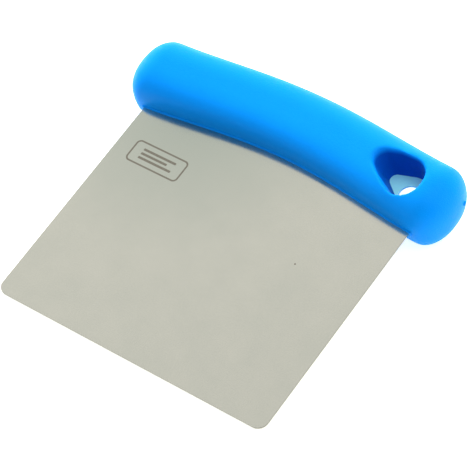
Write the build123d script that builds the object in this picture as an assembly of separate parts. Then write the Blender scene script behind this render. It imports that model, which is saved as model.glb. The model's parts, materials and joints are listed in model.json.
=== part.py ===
from build123d import *
from build123d.topology import SkipClean
import math
import os

# Bench scraper: a flat stainless plate whose upper part, the tang, is buried in a moulded
# grip. A recess in each side of the grip bares the plate again round its hanging hole.
# It is drawn flat: +X along the grip (hanging hole at +X), +Y from the working edge
# towards the grip, +Z out of the blade. X = 0 is the blade's centre line, Y = 0 the
# working edge and Z = 0 the blade's mid plane. All sizes are in millimetres.
# Before it is written it is leaned back, as it lies on a bench: on the lower arris of
# its working edge and on the grip's underside, with the origin under its middle.

# ---- blade ----
BLADE_WIDTH = 120.0
BLADE_THICKNESS = 1.0
BLADE_CORNER_RADIUS = 4.0
BLADE_EDGE_BREAK = 0.15
FACE_CLEARANCE = 0.2

# ---- tang, the part of the plate inside the grip ----
PLATE_HEIGHT = 116.0
TANG_CORNER_RADIUS = 3.0
ANCHOR_HOLE_RADIUS = 2.5
ANCHOR_HOLE_Y = 106.0
ANCHOR_HOLE_XS = [-48.0, -24.0, 0.0, 24.0]
HANGING_HOLE_RADIUS = 4.25
HANGING_HOLE_CENTRE = (51.4, 104.9)

# ---- grip, arched away from the blade and slightly waisted ----
GRIP_LENGTH = 141.8
STATION_X = 60.0
FRONT_MIDDLE_Y = 97.3
FRONT_STATION_Y = 91.9
BACK_MIDDLE_Y = 124.9
BACK_STATION_Y = 120.6
END_BULGE = 1.6
END_CORNER_RADIUS = 10.5
THICKNESS_MIDDLE = 23.0
THICKNESS_STATION = 25.0
GRIP_EDGE_RADIUS = 9.5
PROFILE_OVERRUN = 5.0

# ---- hanging recess, one in each side of the grip: the hull of three circles, (x, y, radius),
# ---- which widens from the blade's mid plane to the mouth ----
RECESS_FLOOR_CIRCLES = [(43.8, 108.2, 2.5), (51.3, 108.5, 4.4), (51.8, 104.2, 4.2)]
RECESS_MOUTH_CIRCLES = [(40.1, 108.6, 4.7), (49.7, 106.8, 7.6), (51.2, 103.3, 4.5)]
RECESS_MOUTH_HEIGHT = 11.5
RECESS_OVERRUN = 8.5
RECESS_RIM_RADIUS = 1.0


def station_arc(middle, station, reach):
    """Ends and middle of a shallow arc, symmetric about 0, through both stations."""
    rise = middle - station
    radius = (STATION_X**2 + rise**2) / (2 * rise)
    end = middle - radius + math.copysign(math.sqrt(radius**2 - reach**2), radius)
    return (-reach, end), (0, middle), (reach, end)


def grip_plan():
    """Plan of the grip: front and back arcs, shallow end arcs and round corners."""
    reach = GRIP_LENGTH / 2 - END_BULGE
    front = station_arc(FRONT_MIDDLE_Y, FRONT_STATION_Y, reach)
    back = station_arc(BACK_MIDDLE_Y, BACK_STATION_Y, reach)
    end_y = (front[2][1] + back[2][1]) / 2
    with BuildSketch() as plan:
        with BuildLine():
            ThreePointArc(*front)
            ThreePointArc(front[2], (GRIP_LENGTH / 2, end_y), back[2])
            ThreePointArc(*back)
            ThreePointArc(front[0], (-GRIP_LENGTH / 2, end_y), back[0])
        make_face()
        fillet(plan.vertices(), END_CORNER_RADIUS)
    return plan.sketch


def grip_profile():
    """Side profile of the grip: thinner in the middle, cut off well past both ends."""
    reach = GRIP_LENGTH / 2 + PROFILE_OVERRUN
    top = station_arc(THICKNESS_MIDDLE / 2, THICKNESS_STATION / 2, reach)
    bottom = [(x, -z) for x, z in top]
    with BuildSketch(Plane.XZ) as profile:
        with BuildLine():
            ThreePointArc(*top)
            Line(top[2], bottom[2])
            ThreePointArc(*bottom)
            Line(top[0], bottom[0])
        make_face()
    return profile.sketch


def grip_blank():
    """Solid grip: plan and side profile in one, with every edge round its faces rounded."""
    body = extrude(grip_plan(), THICKNESS_STATION, both=True)
    body &= extrude(grip_profile(), -2 * BACK_MIDDLE_Y)
    face_edges = [edge for edge in body.edges() if edge.geom_type != GeomType.LINE]
    return body.fillet(GRIP_EDGE_RADIUS, face_edges)


def recess_outline(height):
    """Outline of the recess at a height above the blade's mid plane, a rounded triangle."""
    share = height / RECESS_MOUTH_HEIGHT
    with BuildSketch(Plane.XY.offset(height)) as outline:
        for floor, mouth in zip(RECESS_FLOOR_CIRCLES, RECESS_MOUTH_CIRCLES):
            x, y, radius = [low + share * (high - low) for low, high in zip(floor, mouth)]
            with Locations((x, y)):
                Circle(radius)
        make_hull()
    return outline.sketch


def recess_plug():
    """The air in the upper recess, from the mid plane to well above the grip."""
    top = RECESS_MOUTH_HEIGHT + RECESS_OVERRUN
    return loft([recess_outline(0), recess_outline(top)], ruled=True)


def blade_holes():
    """Cutter for the holes in the tang: four that anchor the grip and one to hang it by."""
    with BuildSketch() as plan:
        with Locations(*[(x, ANCHOR_HOLE_Y) for x in ANCHOR_HOLE_XS]):
            Circle(ANCHOR_HOLE_RADIUS)
        with Locations(HANGING_HOLE_CENTRE):
            Circle(HANGING_HOLE_RADIUS)
    return extrude(plan.sketch, BLADE_THICKNESS, both=True)


def make_blade():
    """Flat plate with its outer arrises broken and holes in its tang.

    It is one solid, but its faces are divided just clear of the grip, so that the bare
    faces of the blade, which a plate or a magnet can lie on, are faces of their own.
    """
    with BuildSketch() as plan:
        with Locations((0, PLATE_HEIGHT / 2)):
            Rectangle(BLADE_WIDTH, PLATE_HEIGHT)
        corners = plan.vertices().group_by(Axis.Y)
        fillet(corners[0], BLADE_CORNER_RADIUS)
        fillet(corners[-1], TANG_CORNER_RADIUS)
    plate = extrude(plan.sketch, BLADE_THICKNESS / 2, both=True)
    arrises = plate.edges().group_by(Axis.Z)
    plate = chamfer(arrises[0] + arrises[-1], BLADE_EDGE_BREAK) - blade_holes()
    covered = extrude(offset(grip_plan(), FACE_CLEARANCE), BLADE_THICKNESS, both=True)
    with SkipClean():
        return (plate - covered) + (plate & covered)


def make_grip(blade):
    """Grip with both recesses, moulded over the tang, so it fills the anchor holes."""
    plug = recess_plug()
    recessed = grip_blank() - plug - mirror(plug, Plane.XY)
    reach = plug.bounding_box()
    rims = [
        edge
        for edge in recessed.edges()
        if reach.min.X < edge.center().X < reach.max.X
        and reach.min.Y < edge.center().Y < reach.max.Y
        and abs(edge.center().Z) > RECESS_MOUTH_HEIGHT - GRIP_EDGE_RADIUS / 2
    ]
    return recessed.fillet(RECESS_RIM_RADIUS, rims) - blade


def resting_lean():
    """Angle at which the blade's lower arris and the grip's lower edge lie on one plane."""
    run = FRONT_STATION_Y + GRIP_EDGE_RADIUS
    rise = GRIP_EDGE_RADIUS - (THICKNESS_STATION - BLADE_THICKNESS) / 2
    return math.degrees(math.asin(GRIP_EDGE_RADIUS / math.hypot(run, rise)) - math.atan2(rise, run))


def main():
    blade = make_blade()
    nodes = {"blade": blade, "handle_grip": make_grip(blade)}
    lean = Rot(resting_lean(), 0, 0)
    box = Compound([lean * shape for shape in nodes.values()]).bounding_box()
    place = Pos(0, -box.center().Y, -box.min.Z) * lean
    print(f"lean {resting_lean():.3f} deg, shift y {-box.center().Y:.3f}, z {-box.min.Z:.3f}")
    print(f"overall {box.size.X:.2f} x {box.size.Y:.2f} x {box.size.Z:.2f} mm")
    os.makedirs("parts", exist_ok=True)
    for name, shape in nodes.items():
        export_step(place * shape, f"parts/{name}.step")
        print(f"{name}: {shape.volume:.0f} mm3, valid {shape.is_valid}")


main()
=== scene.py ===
# %% [markdown]
# # Bench scraper
#
# A bench scraper is two things: a flat plate of satin stainless steel, and a blue plastic grip that was
# moulded round the top of that plate. The CAD model already holds both at their real size and place. This
# notebook keeps the plate, which is exact as it is, and gives it a real steel surface. The grip it builds
# again, because a moulded hand grip has a softly swelling section that simple CAD fillets only come near.

# %% Load the frame
import json
import math
import bmesh
import bpy
import numpy as np
from mathutils import Matrix, Vector


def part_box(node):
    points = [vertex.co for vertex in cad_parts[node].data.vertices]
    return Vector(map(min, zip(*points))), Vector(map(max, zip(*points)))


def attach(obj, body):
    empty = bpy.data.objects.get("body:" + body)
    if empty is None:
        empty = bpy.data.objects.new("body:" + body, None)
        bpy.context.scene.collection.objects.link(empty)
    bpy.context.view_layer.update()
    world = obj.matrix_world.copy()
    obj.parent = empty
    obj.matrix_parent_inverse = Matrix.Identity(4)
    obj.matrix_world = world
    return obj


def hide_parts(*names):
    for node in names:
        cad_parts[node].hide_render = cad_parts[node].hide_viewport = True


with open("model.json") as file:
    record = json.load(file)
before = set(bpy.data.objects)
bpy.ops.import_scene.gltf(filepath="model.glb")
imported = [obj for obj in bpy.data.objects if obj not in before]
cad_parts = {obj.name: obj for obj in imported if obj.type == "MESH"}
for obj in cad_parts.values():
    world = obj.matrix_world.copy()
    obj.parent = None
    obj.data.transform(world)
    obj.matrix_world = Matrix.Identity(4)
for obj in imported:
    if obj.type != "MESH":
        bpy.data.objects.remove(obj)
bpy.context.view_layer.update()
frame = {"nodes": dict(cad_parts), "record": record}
print("CAD nodes:", sorted(frame["nodes"]))

# %% [markdown]
# ## The scraper's own directions
#
# The scraper lies on its back, so its blade leans a few degrees. It is much easier to model it flat, in
# millimetres, with Y = 0 on the working edge and Z = 0 in the middle of the plate, and to lay the finished
# piece down at the end. The record's mounts say where the working edge lies and which way the blade faces,
# so the lean is read from them and nothing has to be fitted by eye.

# %% Read the lean from the record
MM = 0.001
mounts = {mount["name"]: mount for mount in frame["record"]["mounts"]}
edge_point = Vector(mounts["working_edge"]["pos_m"])
face_normal = Vector(mounts["blade_upper_face"]["axis"])
lean = math.atan2(-face_normal.y, face_normal.z)
FLAT_TO_ROW = Matrix.Translation(edge_point) @ Matrix.Rotation(lean, 4, "X") @ Matrix.Scale(MM, 4)
print(f"the blade leans {math.degrees(lean):.2f} degrees")

# %% [markdown]
# ## Small helpers for meshes
#
# A finished piece has its place in its mesh and its object at the origin, just like the CAD nodes. The
# first helper turns a bmesh into such an object. The second bakes an object's modifiers into its mesh, and
# the third joins or cuts two closed shapes, which is how holes and small raised details are made here.


# %% Mesh helpers
def to_object(bm, name):
    """Writes a bmesh into a new object at the origin."""
    mesh = bpy.data.meshes.new(name)
    bm.to_mesh(mesh)
    bm.free()
    piece = bpy.data.objects.new(name, mesh)
    bpy.context.scene.collection.objects.link(piece)
    return piece


def bake_modifiers(piece):
    """Replaces a piece's mesh by what its modifiers make of it."""
    graph = bpy.context.evaluated_depsgraph_get()
    mesh = bpy.data.meshes.new_from_object(piece.evaluated_get(graph))
    piece.modifiers.clear()
    piece.data = mesh
    print(f"{piece.name}: {len(mesh.vertices)} vertices, {len(mesh.polygons)} faces")


def combine(piece, tool, operation):
    """Boolean of two closed shapes; the tool is used up."""
    step = piece.modifiers.new("combine", "BOOLEAN")
    step.operation = operation
    step.solver = "EXACT"
    step.object = tool
    bake_modifiers(piece)
    bpy.data.objects.remove(tool)


# %% [markdown]
# ## The grip's shape
#
# Seen from above, the grip is a shallow arch that bulges away from the blade, and it swells a little
# towards its blunt ends. Cut across, it is a "superellipse": fuller than an ellipse, softer than a rounded
# rectangle, which is what makes it comfortable. Its front is squarer than its back, since the fingers pull
# on a steep wall there, and the steel in front mirrors that wall as a dark band. Towards the tips it turns
# into a plain ellipse. One short function gives the section's place and size anywhere along the grip, so
# every later step can ask it where the surface is.

# %% Measures of the grip, in millimetres
grip_low, grip_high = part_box("handle_grip")
HALF_LENGTH = (grip_high.x - grip_low.x) / 2 / MM
STATION = 60.0
SPINE_MIDDLE = 111.1
SPINE_SAG = 8.1
SPINE_FLATTEN = 3.25
HALF_WIDTH = 13.8
WIDTH_SWELL = 0.6
HALF_THICKNESS = 11.5
THICKNESS_SWELL = 1.15
BACK_POWER = 2.6
FRONT_POWER = 3.7
TIP_POWER = 2.3
TIP_ROUNDING = 4
END_PLAN_LENGTH = 9.7
END_PLAN_POWER = 2.04
END_PROFILE_LENGTH = 12.4
END_PROFILE_POWER = 2.3


def end_taper(x, length, power):
    """1 along the grip, falling to 0 at its tips along a quarter superellipse."""
    depth = min(max((abs(x) - HALF_LENGTH + length) / length, 0), 1)
    return (1 - depth**power) ** (1 / power)


def grip_section(x):
    """Middle y, half width and half thickness of the grip at x."""
    share = (x / STATION) ** 2
    middle = SPINE_MIDDLE - SPINE_SAG * share + SPINE_FLATTEN * share**2
    width = HALF_WIDTH + WIDTH_SWELL * share
    thickness = HALF_THICKNESS + THICKNESS_SWELL * share
    width *= end_taper(x, END_PLAN_LENGTH, END_PLAN_POWER)
    thickness *= end_taper(x, END_PROFILE_LENGTH, END_PROFILE_POWER)
    return middle, width, thickness


for x in (0, STATION):
    measures = [round(v, 1) for v in grip_section(x)]
    print(f"at x = {x:.0f} mm: middle y, half width, half thickness =", measures)

# %% [markdown]
# ## Lofting the grip
#
# A loft is a row of cross-sections with a skin over them. The skin starts as a plain open tube made with
# one operator and cut into rings. Every vertex of a ring then moves to its own place on the section that
# belongs there. The rings crowd together towards the tips, where the surface turns fastest, and the two
# last rings shrink to a point and are merged into a closed pole.

# %% Build the loft
AROUND = 128
RINGS = 220


def superellipse(turn, power):
    """Point at an angle on a superellipse of half width and half height 1."""
    across, upward = math.cos(turn), math.sin(turn)
    return (
        math.copysign(abs(across) ** (2 / power), across),
        math.copysign(abs(upward) ** (2 / power), upward),
    )


def loft_grip():
    bm = bmesh.new()
    bmesh.ops.create_cone(bm, cap_ends=False, segments=AROUND, radius1=1, radius2=1, depth=2)
    lengthwise = [edge for edge in bm.edges if abs(edge.verts[0].co.z - edge.verts[1].co.z) > 1]
    bmesh.ops.subdivide_edges(bm, edges=lengthwise, cuts=RINGS, use_grid_fill=True)
    for vert in bm.verts:
        x = HALF_LENGTH * math.sin(vert.co.z * math.pi / 2)
        middle, width, thickness = grip_section(x)
        power = FRONT_POWER if vert.co.x < 0 else BACK_POWER
        power += (TIP_POWER - power) * (abs(x) / HALF_LENGTH) ** TIP_ROUNDING
        across, upward = superellipse(math.atan2(vert.co.y, vert.co.x), power)
        vert.co = Vector((x, middle + width * across, thickness * upward))
    bmesh.ops.remove_doubles(bm, verts=bm.verts, dist=1e-4)
    bmesh.ops.recalc_face_normals(bm, faces=bm.faces)
    return to_object(bm, "moulded_grip")


grip = loft_grip()
print("grip loft:", len(grip.data.polygons), "faces")

# %% [markdown]
# ## The hanging hole and its recess
#
# The steel runs right through the grip and has a round hole near its corner, to hang the scraper on a hook.
# Round that hole the plastic is left away on both sides, in a recess shaped like a rounded triangle that
# points towards the middle of the grip. Its outline is what a rubber band would do round three pegs of
# different sizes. The pegs are thinner on the floor than at the mouth, because a mould core has to taper to
# pull out. The lists below give each peg's x, y and radius. The convex hull of six rings, one at each end
# of each peg, is exactly such a core, so one core is subtracted from above and one from below. A remesh
# then turns the result into an even net of small faces, fine enough for the sharp rim to be rubbed down to
# a soft moulded edge.

# %% Cut the recess
RECESS_FLOOR = [(43.8, 108.2, 2.5), (51.3, 108.5, 4.4), (51.8, 104.2, 4.2)]
RECESS_MOUTH = [(40.1, 108.6, 4.7), (49.7, 106.8, 7.6), (51.2, 103.3, 4.5)]
RECESS_LOW_X = RECESS_MOUTH[0][0] - RECESS_MOUTH[0][2]
RECESS_HIGH_X = RECESS_MOUTH[1][0] + RECESS_MOUTH[1][2]
MOUTH_HEIGHT = 11.5
CORE_START = -0.3
CORE_END = 20.0
CORE_SEGMENTS = 128
NET_SIZE = 0.45


def recess_pegs(height):
    """The three pegs, as x, y and radius, at a height above or below the mid plane."""
    share = height / MOUTH_HEIGHT
    pairs = zip(RECESS_FLOOR, RECESS_MOUTH)
    return [[low + (high - low) * share for low, high in zip(*pair)] for pair in pairs]


def recess_core(side):
    """The mould core of one recess, from just past the mid plane to well clear of the grip."""
    bm = bmesh.new()
    for height in (CORE_START, CORE_END):
        for x, y, radius in recess_pegs(height):
            place = Matrix.Translation((x, y, height * side))
            bmesh.ops.create_circle(bm, segments=CORE_SEGMENTS, radius=radius, matrix=place)
    bmesh.ops.delete(bm, geom=bm.edges[:], context="EDGES_FACES")
    bmesh.ops.convex_hull(bm, input=bm.verts)
    bmesh.ops.delete(bm, geom=[vert for vert in bm.verts if not vert.link_faces], context="VERTS")
    bmesh.ops.recalc_face_normals(bm, faces=bm.faces)
    return to_object(bm, "recess_core")


combine(grip, recess_core(1), "DIFFERENCE")
combine(grip, recess_core(-1), "DIFFERENCE")
net = grip.modifiers.new("net", "REMESH")
net.mode = "VOXEL"
net.voxel_size = NET_SIZE
bake_modifiers(grip)

# %% [markdown]
# ## Rubbing down the rim
#
# A moulding tool can't hold a knife-sharp rim, and a sharp rim would hurt a finger, so both rims of the
# recess are rounded. Smoothing moves a vertex towards the middle of its neighbours: on the flat it changes
# nothing, but on a sharp edge it wears the edge away, the more the oftener it is done. So the vertices near
# the rims are smoothed many times, and all the others a few times, to even out the net.

# %% Soften the rims
RIM_REACH = 1.6
RIM_PASSES = 9
ALL_PASSES = 3
OUTLINE_DIRECTIONS = 120


def outside_recess(x, y, height):
    """Distance in plan from the recess's outline at a height, negative inside it."""
    turns = np.linspace(0, 2 * math.pi, OUTLINE_DIRECTIONS, endpoint=False)
    across, along = np.cos(turns), np.sin(turns)
    reach = np.max([across * px + along * py + radius for px, py, radius in recess_pegs(height)], axis=0)
    return float(np.max(across * x + along * y - reach))


def near_rim(co):
    """Whether a point lies close to the rim of the upper or the lower recess."""
    beside = RECESS_LOW_X - RIM_REACH < co.x < RECESS_HIGH_X + RIM_REACH
    if not beside or abs(co.z) < HALF_THICKNESS / 2:
        return False
    return abs(outside_recess(co.x, co.y, MOUTH_HEIGHT)) < RIM_REACH


def smooth(bm, verts, passes):
    """Moves vertices half way to the middle of their neighbours, pass after pass."""
    for _ in range(passes):
        bmesh.ops.smooth_vert(bm, verts=verts, factor=0.5, use_axis_x=True, use_axis_y=True, use_axis_z=True)


def rub_down(piece):
    bm = bmesh.new()
    bm.from_mesh(piece.data)
    rim = [vert for vert in bm.verts if near_rim(vert.co)]
    smooth(bm, bm.verts, ALL_PASSES)
    smooth(bm, rim, RIM_PASSES)
    bm.to_mesh(piece.data)
    bm.free()
    print(f"smoothed {len(rim)} vertices along the rims")


rub_down(grip)

# %% [markdown]
# ## The parting line
#
# The mould closes in the plane of the blade, and a hair of plastic always creeps into its joint. It is
# trimmed, but a fine ridge stays all round the grip. Three cuts with a plane lay three
# loops of edges on the surface, and the middle loop is lifted a little along its normals.

# %% Raise the parting line
PARTING_HALF_WIDTH = 0.18
PARTING_HEIGHT = 0.05


def raise_parting_line(piece):
    bm = bmesh.new()
    bm.from_mesh(piece.data)
    for height in (-PARTING_HALF_WIDTH, 0, PARTING_HALF_WIDTH):
        everything = bm.verts[:] + bm.edges[:] + bm.faces[:]
        bmesh.ops.bisect_plane(bm, geom=everything, dist=0.03, plane_co=(0, 0, height), plane_no=(0, 0, 1))
    bm.normal_update()
    ridge = [vert for vert in bm.verts if abs(vert.co.z) < 1e-4]
    for vert in ridge:
        vert.co += vert.normal * PARTING_HEIGHT
    bm.to_mesh(piece.data)
    bm.free()
    print(f"parting line of {len(ridge)} vertices")


raise_parting_line(grip)

# %% [markdown]
# ## Where the steel goes in
#
# The mould has to close on the steel without letting plastic past, so it leaves a narrow step along the
# line where the blade enters the grip. The step is a thin bar, as wide as the blade, that is bent to the
# grip's own front line, has its edges rounded, and is joined on. Last, the tang's own room is cut out with
# a merged copy of the CAD blade, because the CAD node itself may not be touched.

# %% Add the entry step and cut the room for the tang
STEP_REACH = 0.6
STEP_HEIGHT = 0.45
STEP_DEPTH = 5.0
STEP_CUTS = 80
STEP_ROUNDING = 0.15
blade_low, blade_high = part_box("blade")
BLADE_HALF_WIDTH = (blade_high.x - blade_low.x) / 2 / MM
BLADE_HALF_THICKNESS = 0.5


def entry_step():
    half_width = BLADE_HALF_WIDTH + STEP_REACH
    half_height = BLADE_HALF_THICKNESS + STEP_HEIGHT
    bm = bmesh.new()
    bmesh.ops.create_cube(bm, size=2, matrix=Matrix.Diagonal((half_width, 1, half_height, 1)))
    lengthwise = [edge for edge in bm.edges if abs(edge.verts[0].co.x - edge.verts[1].co.x) > 1]
    bmesh.ops.subdivide_edges(bm, edges=lengthwise, cuts=STEP_CUTS, use_grid_fill=True)
    for vert in bm.verts:
        middle, width, _ = grip_section(vert.co.x)
        front = middle - width
        vert.co.y = front - STEP_REACH if vert.co.y < 0 else front + STEP_DEPTH
    sharp = [edge for edge in bm.edges if edge.calc_face_angle(0) > math.radians(60)]
    bmesh.ops.bevel(
        bm, geom=sharp, offset=STEP_ROUNDING, segments=2, affect="EDGES", profile=0.5, material=-1
    )
    bmesh.ops.recalc_face_normals(bm, faces=bm.faces)
    return to_object(bm, "entry_step")


def tang_room():
    bm = bmesh.new()
    bm.from_mesh(frame["nodes"]["blade"].data)
    bmesh.ops.transform(bm, matrix=FLAT_TO_ROW.inverted(), verts=bm.verts)
    bmesh.ops.remove_doubles(bm, verts=bm.verts, dist=1e-3)
    return to_object(bm, "tang_room")


combine(grip, entry_step(), "UNION")
combine(grip, tang_room(), "DIFFERENCE")

# %% [markdown]
# ## The gate nib
#
# Molten plastic entered the mould through a small gate on the parting line at one end. When the gate was
# cut off it left a nib, a little raised block with softened corners. It is set on the surface where the
# real one is, just behind the middle of the end, and turned to stand out along the surface's own normal.

# %% Add the gate nib
GATE_POINT = Vector((74.0, 112.5, 0))
NIB_SIZE = (0.5, 0.8, 0.45)
NIB_ROUNDING = 0.12


def gate_nib(piece):
    found, place, normal, _ = piece.closest_point_on_mesh(GATE_POINT)
    bm = bmesh.new()
    bmesh.ops.create_cube(bm, size=2, matrix=Matrix.Diagonal((*NIB_SIZE, 1)))
    bmesh.ops.bevel(
        bm, geom=bm.edges[:], offset=NIB_ROUNDING, segments=2, affect="EDGES", profile=0.5, material=-1
    )
    outward = Matrix.Rotation(math.atan2(normal.y, normal.x), 4, "Z")
    bmesh.ops.transform(bm, matrix=Matrix.Translation(place) @ outward, verts=bm.verts)
    print("gate nib at", [round(v, 1) for v in place])
    return to_object(bm, "gate_nib")


combine(grip, gate_nib(grip), "UNION")

# %% [markdown]
# ## Marking the painted shade in the recess
#
# The walls of the recess are painted darker, as painted shade, so the material has to know where they
# are. Every vertex gets a number for that, 0 outside and rising to 1 a little way below the rim.

# %% Mark the painted shade on the walls of the recess
WALL_TOP = 10.9
WALL_FADE = 1.6
WALL_REACH = 0.8


def recess_shade_share(co):
    """Share of painted shade on the recess walls: 0 outside a recess, rising to 1 over WALL_FADE below the
    rim.
    """
    height = abs(co.z)
    if not RECESS_LOW_X < co.x < RECESS_HIGH_X or height >= WALL_TOP:
        return 0
    if outside_recess(co.x, co.y, height) >= WALL_REACH:
        return 0
    return min((WALL_TOP - height) / WALL_FADE, 1)


def mark_recess_shade(piece):
    # Painted shade: each vertex stores how far towards the deeper blue the recess walls are painted.
    marks = [recess_shade_share(vert.co) for vert in piece.data.vertices]
    layer = piece.data.attributes.new("recess_shade", "FLOAT", "POINT")
    layer.data.foreach_set("value", marks)
    print(f"{sum(mark > 0 for mark in marks)} vertices lie in the recesses")


mark_recess_shade(grip)

# %% [markdown]
# ## Laying the grip down
#
# The grip is finished, so it is scaled to metres and leaned back with the blade, in its mesh and not in its
# object. Faces that meet at a shallow angle are shaded as one smooth surface, and real edges stay crisp.

# %% Put the grip in its place
SMOOTH_ANGLE = math.radians(32)
grip.data.transform(FLAT_TO_ROW)
grip.data.shade_smooth()
grip.data.set_sharp_from_angle(angle=SMOOTH_ANGLE)
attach(grip, "root")
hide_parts("handle_grip")
print("grip:", len(grip.data.polygons), "faces")

# %% [markdown]
# ## A helper for materials
#
# A procedural material is a chain of small nodes. These helpers add one node at a time and return the
# socket that it feeds on, so that the code of a material reads from the surface's place to its colour. The
# pattern's place comes from Object coordinates, laid flat again with a Mapping node and in millimetres, so
# every number in a pattern can be read as a real size on the scraper.


# %% Node helpers
BAR_EDGE = 0.05


class Surface:
    """A material whose nodes are added in reading order."""

    def __init__(self, name):
        self.material = bpy.data.materials.new(name)
        self.material.use_nodes = True
        self.tree = self.material.node_tree
        self.shader = self.tree.nodes["Principled BSDF"]

    def node(self, kind, **settings):
        made = self.tree.nodes.new(kind)
        for name, value in settings.items():
            setattr(made, name, value)
        return made

    def feed(self, socket, source):
        if isinstance(source, bpy.types.NodeSocket):
            self.tree.links.new(source, socket)
        else:
            socket.default_value = source

    def math(self, operation, *inputs, clamp=False):
        made = self.node("ShaderNodeMath", operation=operation, use_clamp=clamp)
        for socket, source in zip(made.inputs, inputs):
            self.feed(socket, source)
        return made.outputs[0]

    def ramp(self, value, low, high, to_low=0.0, to_high=1.0):
        made = self.node("ShaderNodeMapRange")
        for socket, source in zip(made.inputs, (value, low, high, to_low, to_high)):
            self.feed(socket, source)
        return made.outputs[0]

    def blend(self, share, low, high):
        made = self.node("ShaderNodeMix", data_type="RGBA")
        for socket, source in ((0, share), (6, low), (7, high)):
            self.feed(made.inputs[socket], source)
        return made.outputs[2]

    def flat_place(self, stretch=(1, 1, 1)):
        """Place on the scraper as if it lay flat, in millimetres, stretched if asked."""
        place = self.node("ShaderNodeTexCoord").outputs["Object"]
        lay_flat = self.node("ShaderNodeMapping", vector_type="TEXTURE")
        lay_flat.inputs["Location"].default_value = edge_point
        lay_flat.inputs["Rotation"].default_value = (lean, 0, 0)
        lay_flat.inputs["Scale"].default_value = [MM / share for share in stretch]
        self.feed(lay_flat.inputs["Vector"], place)
        return lay_flat.outputs["Vector"]

    def noise(self, place, per_mm, detail=2.0, roughness=0.5):
        made = self.node("ShaderNodeTexNoise")
        self.feed(made.inputs["Vector"], place)
        made.inputs["Scale"].default_value = per_mm
        made.inputs["Detail"].default_value = detail
        made.inputs["Roughness"].default_value = roughness
        return made.outputs[0]

    def split(self, place):
        made = self.node("ShaderNodeSeparateXYZ")
        self.feed(made.inputs[0], place)
        return made.outputs

    def bar(self, x, y, centre, size, rounding):
        """1 inside a bar with rounded corners, 0 outside, all in millimetres."""
        over = []
        for value, middle, measure in zip((x, y), centre, size):
            away = self.math("ABSOLUTE", self.math("SUBTRACT", value, middle))
            over.append(self.math("MAXIMUM", self.math("SUBTRACT", away, measure / 2 - rounding), 0.0))
        squares = [self.math("MULTIPLY", value, value) for value in over]
        outside = self.math("SQRT", self.math("ADD", *squares))
        return self.ramp(outside, rounding + BAR_EDGE, rounding - BAR_EDGE)

    def distance(self, place, point):
        """Distance from a point on the scraper, in millimetres."""
        made = self.node("ShaderNodeVectorMath", operation="DISTANCE")
        self.feed(made.inputs[0], place)
        made.inputs[1].default_value = point
        return made.outputs["Value"]

    def bump(self, height, distance, strength=1.0):
        made = self.node("ShaderNodeBump")
        made.inputs["Distance"].default_value = distance
        made.inputs["Strength"].default_value = strength
        self.feed(made.inputs["Height"], height)
        self.feed(self.shader.inputs["Normal"], made.outputs["Normal"])


# %% [markdown]
# ## Blue plastic
#
# The grip is coloured all through, so its colour hardly varies. What the eye reads as plastic is the
# surface: the mould was spark-eroded, which leaves a fine matte grain of pits a few tenths of a millimetre
# wide. Two noises make it, a fine one for the pits and a broad one for the places where the grain is
# polished a little by the mould's wear, and both also move the roughness. Grain and wax dull the gloss, and
# where one looks along the surface they scatter a pale cyan bloom, which the shader's sheen stands for. The
# walls of the recess are painted a deeper blue, as painted shade for the dim light deep in the recess.

# %% Make the plastic
PLASTIC_BLUE = (0.001, 0.285, 0.92, 1)
PLASTIC_BLUE_DEEP = (0.0005, 0.262, 0.88, 1)
# Painted shade: the recess walls get this deeper blue to stand for the dim light deep in the recess.
PLASTIC_RECESS_SHADE = (0.0005, 0.085, 0.48, 1)
PLASTIC_GLOSS = 0.05
PLASTIC_ROUGHNESS = (0.36, 0.44)
PIT_ROUGHNESS = (-0.04, 0.04)
PITS_PER_MM = 1.5
PIT_DEPTH = 0.00014
PIT_STRENGTH = 0.7
WEAR_PER_MM = 0.06
BLOOM_COLOUR = (0.02, 0.85, 1.0, 1)
BLOOM = 0.2
BLOOM_SPREAD = 0.3


def make_plastic():
    plastic = Surface("blue_moulded_plastic")
    place = plastic.flat_place()
    wear = plastic.noise(place, WEAR_PER_MM, detail=3)
    pits = plastic.noise(place, PITS_PER_MM, detail=4, roughness=0.65)
    outside = plastic.blend(wear, PLASTIC_BLUE_DEEP, PLASTIC_BLUE)
    recess_shade = plastic.node("ShaderNodeAttribute", attribute_name="recess_shade").outputs["Fac"]
    # Painted shade: the base colour turns deeper blue on the recess walls.
    plastic.feed(plastic.shader.inputs["Base Color"], plastic.blend(recess_shade, outside, PLASTIC_RECESS_SHADE))
    matte = plastic.ramp(wear, 0.3, 0.7, *PLASTIC_ROUGHNESS)
    pitted = plastic.ramp(pits, 0.2, 0.8, *PIT_ROUGHNESS)
    plastic.feed(plastic.shader.inputs["Roughness"], plastic.math("ADD", matte, pitted))
    plastic.bump(pits, PIT_DEPTH, PIT_STRENGTH)
    plastic.shader.inputs["Specular IOR Level"].default_value = PLASTIC_GLOSS
    plastic.shader.inputs["Sheen Weight"].default_value = BLOOM
    plastic.shader.inputs["Sheen Roughness"].default_value = BLOOM_SPREAD
    plastic.shader.inputs["Sheen Tint"].default_value = BLOOM_COLOUR
    return plastic.material


grip.data.materials.clear()
grip.data.materials.append(make_plastic())
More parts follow.
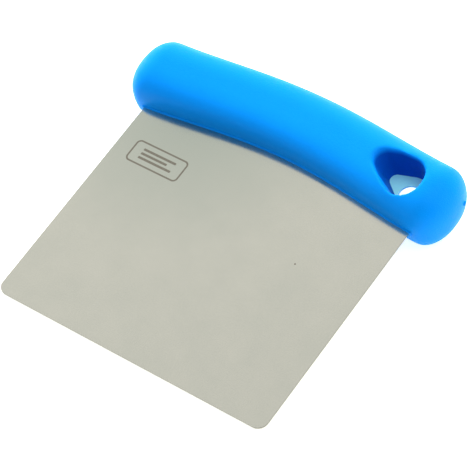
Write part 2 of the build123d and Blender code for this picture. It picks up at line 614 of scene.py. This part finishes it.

# %% [markdown]
# ## Satin stainless steel
#
# Cold-rolled stainless sheet has no deep brushing, only a soft, even sheen that blurs what it mirrors:
# close to the grip its reflection is still sharp, and a few millimetres away it fades. The rolls leave very
# fine streaks along the strip, and handling leaves faint cloudy patches. The steel is metallic, so its
# whole look is in its roughness, and both patterns mostly change that. Towards the left half of the grip the
# steel's colour is painted darker and greener, as painted shade of the grip. A maker etches a small mark
# into such a blade with a stencil and a salt solution, which leaves it brownish grey. Here it is a plain
# frame with three bars. The plastic that crept between the mould core and the plate left a thin milky film
# on the steel in the recess, rougher and less metallic than the steel; its pale cyan colour is painted blue
# light, thrown onto it by the recess walls.

# %% Measures of the steel's surface
STEEL = (0.635, 0.625, 0.54, 1)
STEEL_CLOUDY = (0.555, 0.562, 0.487, 1)
# Painted shade: the steel is painted darker and greener round a point near the left half of the grip.
STEEL_GRIP_SHADE = (0.43, 0.47, 0.405, 1)
GRIP_SHADE_CENTRE = (-42.0, 104.0, 0.0)
GRIP_SHADE_REACH = (8.0, 68.0)
CLOUDS_PER_MM = 0.07
SPECKLES_PER_MM = 2.2
SPECKLE_SHARE = 0.4
STREAK_STRETCH = (0.06, 1.6, 1)
STREAK_DEPTH = 0.000004
STREAK_STRENGTH = 0.5
STEEL_ROUGHNESS = (0.14, 0.18)
STREAK_ROUGHNESS = (-0.02, 0.02)

# %% [markdown]
# The marks on the steel are places and sizes on the flat scraper, in millimetres. The frame of the etched
# mark is a large bar less a slightly smaller one. Each of its three bars has an offset from the middle and
# a length.

# %% Make the marks on the steel
ETCHED_STEEL = (0.16, 0.13, 0.095, 1)
ETCH_COVER = (0.6, 0.85)
UPPER_FACE = (0.3, 0.35)
MARK_CENTRE = (-40.7, 74.0)
MARK_SIZE = (24.0, 10.0)
MARK_ROUNDING = 2.0
MARK_LINE = 0.7
MARK_BARS = [(0.0, 1.9, 15.0), (-1.5, 0.0, 12.0), (0.0, -1.9, 15.0)]
MARK_BAR_WIDTH = 1.0
MARK_BAR_ROUNDING = 0.3
DENT_PLACE = (31.2, 61.3, 0.5)
DENT_RADII = (0.25, 0.4)
DENT_COVER = 0.8
FILM_PLACE = (49.5, 106.0)
FILM_SPAN = (25.0, 22.0)
FILM_ROUNDING = 8.0
# Painted light: the film's pale cyan stands for blue light thrown onto it by the recess walls.
FILM_BOUNCE_BLUE = (0.36, 0.95, 1.0, 1)
FILM_ROUGHNESS = 0.45
FILM_COVER = 0.55


def etched_mark(steel, x, y, z):
    """1 in the lines of the etched mark on the upper face, 0 elsewhere."""
    inner_size = [measure - 2 * MARK_LINE for measure in MARK_SIZE]
    outer = steel.bar(x, y, MARK_CENTRE, MARK_SIZE, MARK_ROUNDING)
    inner = steel.bar(x, y, MARK_CENTRE, inner_size, MARK_ROUNDING - MARK_LINE)
    lines = steel.math("SUBTRACT", outer, inner)
    for across, along, length in MARK_BARS:
        centre = (MARK_CENTRE[0] + across, MARK_CENTRE[1] + along)
        bar = steel.bar(x, y, centre, (length, MARK_BAR_WIDTH), MARK_BAR_ROUNDING)
        lines = steel.math("ADD", lines, bar)
    return steel.math("MULTIPLY", lines, steel.ramp(z, *UPPER_FACE), clamp=True)


def make_steel():
    steel = Surface("satin_stainless_steel")
    place = steel.flat_place()
    x, y, z = steel.split(place)
    streaks = steel.noise(steel.flat_place(stretch=STREAK_STRETCH), 1.0, detail=3)
    clouds = steel.noise(place, CLOUDS_PER_MM, detail=4, roughness=0.55)
    speckles = steel.noise(place, SPECKLES_PER_MM, detail=2)
    film = steel.bar(x, y, FILM_PLACE, FILM_SPAN, FILM_ROUNDING)

    uneven = steel.math("ADD", clouds, steel.ramp(speckles, 0.2, 0.8, -SPECKLE_SHARE, SPECKLE_SHARE))
    clean = steel.blend(uneven, STEEL_CLOUDY, STEEL)
    # Painted shade: the colour darkens towards the left half of the grip.
    grip_shade = steel.ramp(steel.distance(place, GRIP_SHADE_CENTRE), *GRIP_SHADE_REACH, 1.0, 0.0)
    clean = steel.blend(grip_shade, clean, STEEL_GRIP_SHADE)
    etch = steel.math("MULTIPLY", etched_mark(steel, x, y, z), steel.ramp(speckles, 0.2, 0.7, *ETCH_COVER))
    dent = steel.ramp(steel.distance(place, DENT_PLACE), *DENT_RADII, DENT_COVER, 0.0)
    marked = steel.blend(steel.math("MAXIMUM", etch, dent), clean, ETCHED_STEEL)
    # Painted light: the film's colour is painted blue bounce light; its roughness and metal share below are
    # the film's own.
    steel.feed(steel.shader.inputs["Base Color"], steel.blend(film, marked, FILM_BOUNCE_BLUE))

    sheen = steel.ramp(clouds, 0.3, 0.7, *STEEL_ROUGHNESS)
    streaked = steel.math("ADD", sheen, steel.ramp(streaks, 0.2, 0.8, *STREAK_ROUGHNESS))
    filmed = steel.math("MULTIPLY", film, FILM_ROUGHNESS)
    steel.feed(steel.shader.inputs["Roughness"], steel.math("MAXIMUM", streaked, filmed))
    steel.feed(steel.shader.inputs["Metallic"], steel.ramp(film, 0.0, 1.0, 1.0, 1.0 - FILM_COVER))
    steel.bump(streaks, STREAK_DEPTH, STREAK_STRENGTH)
    return steel.material


blade = frame["nodes"]["blade"]
blade.data.materials.clear()
blade.data.materials.append(make_steel())

# %% [markdown]
# ## Camera
#
# The scraper is seen from the front right, from about fifty degrees above, with a long lens held a little
# askew, so that the grip runs down to the right. A long lens from far off keeps the blade's sides almost
# parallel. The camera aims at a point on the blade, so it follows the part wherever the frame puts it.

# %% Place the camera
AZIMUTH = math.radians(45.56)
ELEVATION = math.radians(49.93)
ROLL = math.radians(-11.64)
AIM_ON_BLADE = Vector((4.42, 61.31, 0))
CAMERA_DISTANCE = 0.8969
LENS = 191.5
SENSOR = 36.0

camera = bpy.data.objects.new("camera", bpy.data.cameras.new("camera"))
bpy.context.scene.collection.objects.link(camera)
bpy.context.scene.camera = camera
camera.data.sensor_width = SENSOR
camera.data.lens = LENS
backward = Vector(
    (math.sin(AZIMUTH) * math.cos(ELEVATION), -math.cos(AZIMUTH) * math.cos(ELEVATION), math.sin(ELEVATION))
)
camera.location = FLAT_TO_ROW @ AIM_ON_BLADE + backward * CAMERA_DISTANCE
level = (-backward).to_track_quat("-Z", "Y").to_matrix().to_4x4()
camera.rotation_mode = "QUATERNION"
camera.rotation_quaternion = (level @ Matrix.Rotation(ROLL, 4, "Z")).to_quaternion()
print("camera at", [round(v, 3) for v in camera.location])

# %% [markdown]
# ## Floor and light
#
# The scraper lies on a sheet of opal acrylic that is lit a little from below, inside a white tent. The
# sheet glows, so hardly any shadow is left on it. It is a plain pale floor with a weak emission.

# %% Lay the floor
FLOOR_SIZE = 3.0
FLOOR_GREY = 0.9
FLOOR_ROUGHNESS = 0.9
FLOOR_GLOSS = 0.1
FLOOR_GLOW = 0.7


def make_floor():
    bm = bmesh.new()
    bmesh.ops.create_grid(bm, x_segments=1, y_segments=1, size=FLOOR_SIZE)
    sheet = to_object(bm, "floor")
    acrylic = Surface("opal_acrylic")
    acrylic.shader.inputs["Base Color"].default_value = (FLOOR_GREY, FLOOR_GREY, FLOOR_GREY, 1)
    acrylic.shader.inputs["Roughness"].default_value = FLOOR_ROUGHNESS
    acrylic.shader.inputs["Specular IOR Level"].default_value = FLOOR_GLOSS
    acrylic.shader.inputs["Emission Color"].default_value = (1, 1, 1, 1)
    acrylic.shader.inputs["Emission Strength"].default_value = FLOOR_GLOW
    sheet.data.materials.append(acrylic.material)
    return sheet


make_floor()

# %% [markdown]
# The tent is the world itself. Its back wall, the one away from the camera, is the brightest, and the side
# with the camera is dim, since the camera looks in through an opening there. The roof is dimmer than the
# walls. One large soft lamp behind the scraper brings out the grip's back edge, and three weaker ones lift
# its top and its ends. Black paper stands between the lamps and the steel, so the blade mirrors only the
# tent and stays evenly grey. Here that is a switch on each lamp that hides it from mirrors. The list gives
# each lamp's place and side in metres and its power in watts.

# %% Light the tent
TENT_FRONT = 0.4
TENT_BACK = 1.5
FRONT_DEPTH = -0.8
ROOF_SHARE = 0.74
LAMPS = [
    ("back_light", (-0.15, 1.15, 0.65), 0.8, 12),
    ("top_light", (0.35, 0.35, 1.3), 0.8, 5),
    ("left_light", (-1.1, 0.3, 0.3), 0.5, 16),
    ("right_light", (1.0, 0.35, 0.5), 0.8, 3),
]


def light_tent():
    world = bpy.data.worlds.new("tent")
    bpy.context.scene.world = world
    world.use_nodes = True
    tree = world.node_tree
    direction = tree.nodes.new("ShaderNodeTexCoord").outputs["Generated"]
    depth = tree.nodes.new("ShaderNodeVectorMath")
    depth.operation = "DOT_PRODUCT"
    depth.inputs[1].default_value = Vector((-backward.x, -backward.y, 0)).normalized()
    split = tree.nodes.new("ShaderNodeSeparateXYZ")
    wall = tree.nodes.new("ShaderNodeMapRange")
    roof = tree.nodes.new("ShaderNodeMapRange")
    both = tree.nodes.new("ShaderNodeMath")
    both.operation = "MULTIPLY"
    for socket, value in zip(wall.inputs[1:5], (FRONT_DEPTH, 1.0, TENT_FRONT, TENT_BACK)):
        socket.default_value = value
    for socket, value in zip(roof.inputs[1:5], (0.0, 1.0, 1.0, ROOF_SHARE)):
        socket.default_value = value
    tree.links.new(direction, depth.inputs[0])
    tree.links.new(direction, split.inputs["Vector"])
    tree.links.new(depth.outputs["Value"], wall.inputs["Value"])
    tree.links.new(split.outputs["Z"], roof.inputs["Value"])
    tree.links.new(wall.outputs["Result"], both.inputs[0])
    tree.links.new(roof.outputs["Result"], both.inputs[1])
    tree.links.new(both.outputs["Value"], tree.nodes["Background"].inputs["Strength"])
    tree.nodes["Background"].inputs["Color"].default_value = (1, 1, 1, 1)


def soft_light(name, place, size, watts):
    """A square lamp that points at the middle of the blade and doesn't show in mirrors."""
    lamp = bpy.data.lights.new(name, "AREA")
    lamp.size = size
    lamp.energy = watts
    holder = bpy.data.objects.new(name, lamp)
    holder.location = place
    holder.visible_glossy = False
    holder.rotation_euler = (FLAT_TO_ROW @ AIM_ON_BLADE - Vector(place)).to_track_quat("-Z", "Y").to_euler()
    bpy.context.scene.collection.objects.link(holder)


light_tent()
for lamp_facts in LAMPS:
    soft_light(*lamp_facts)
bpy.context.scene.view_settings.view_transform = "Standard"
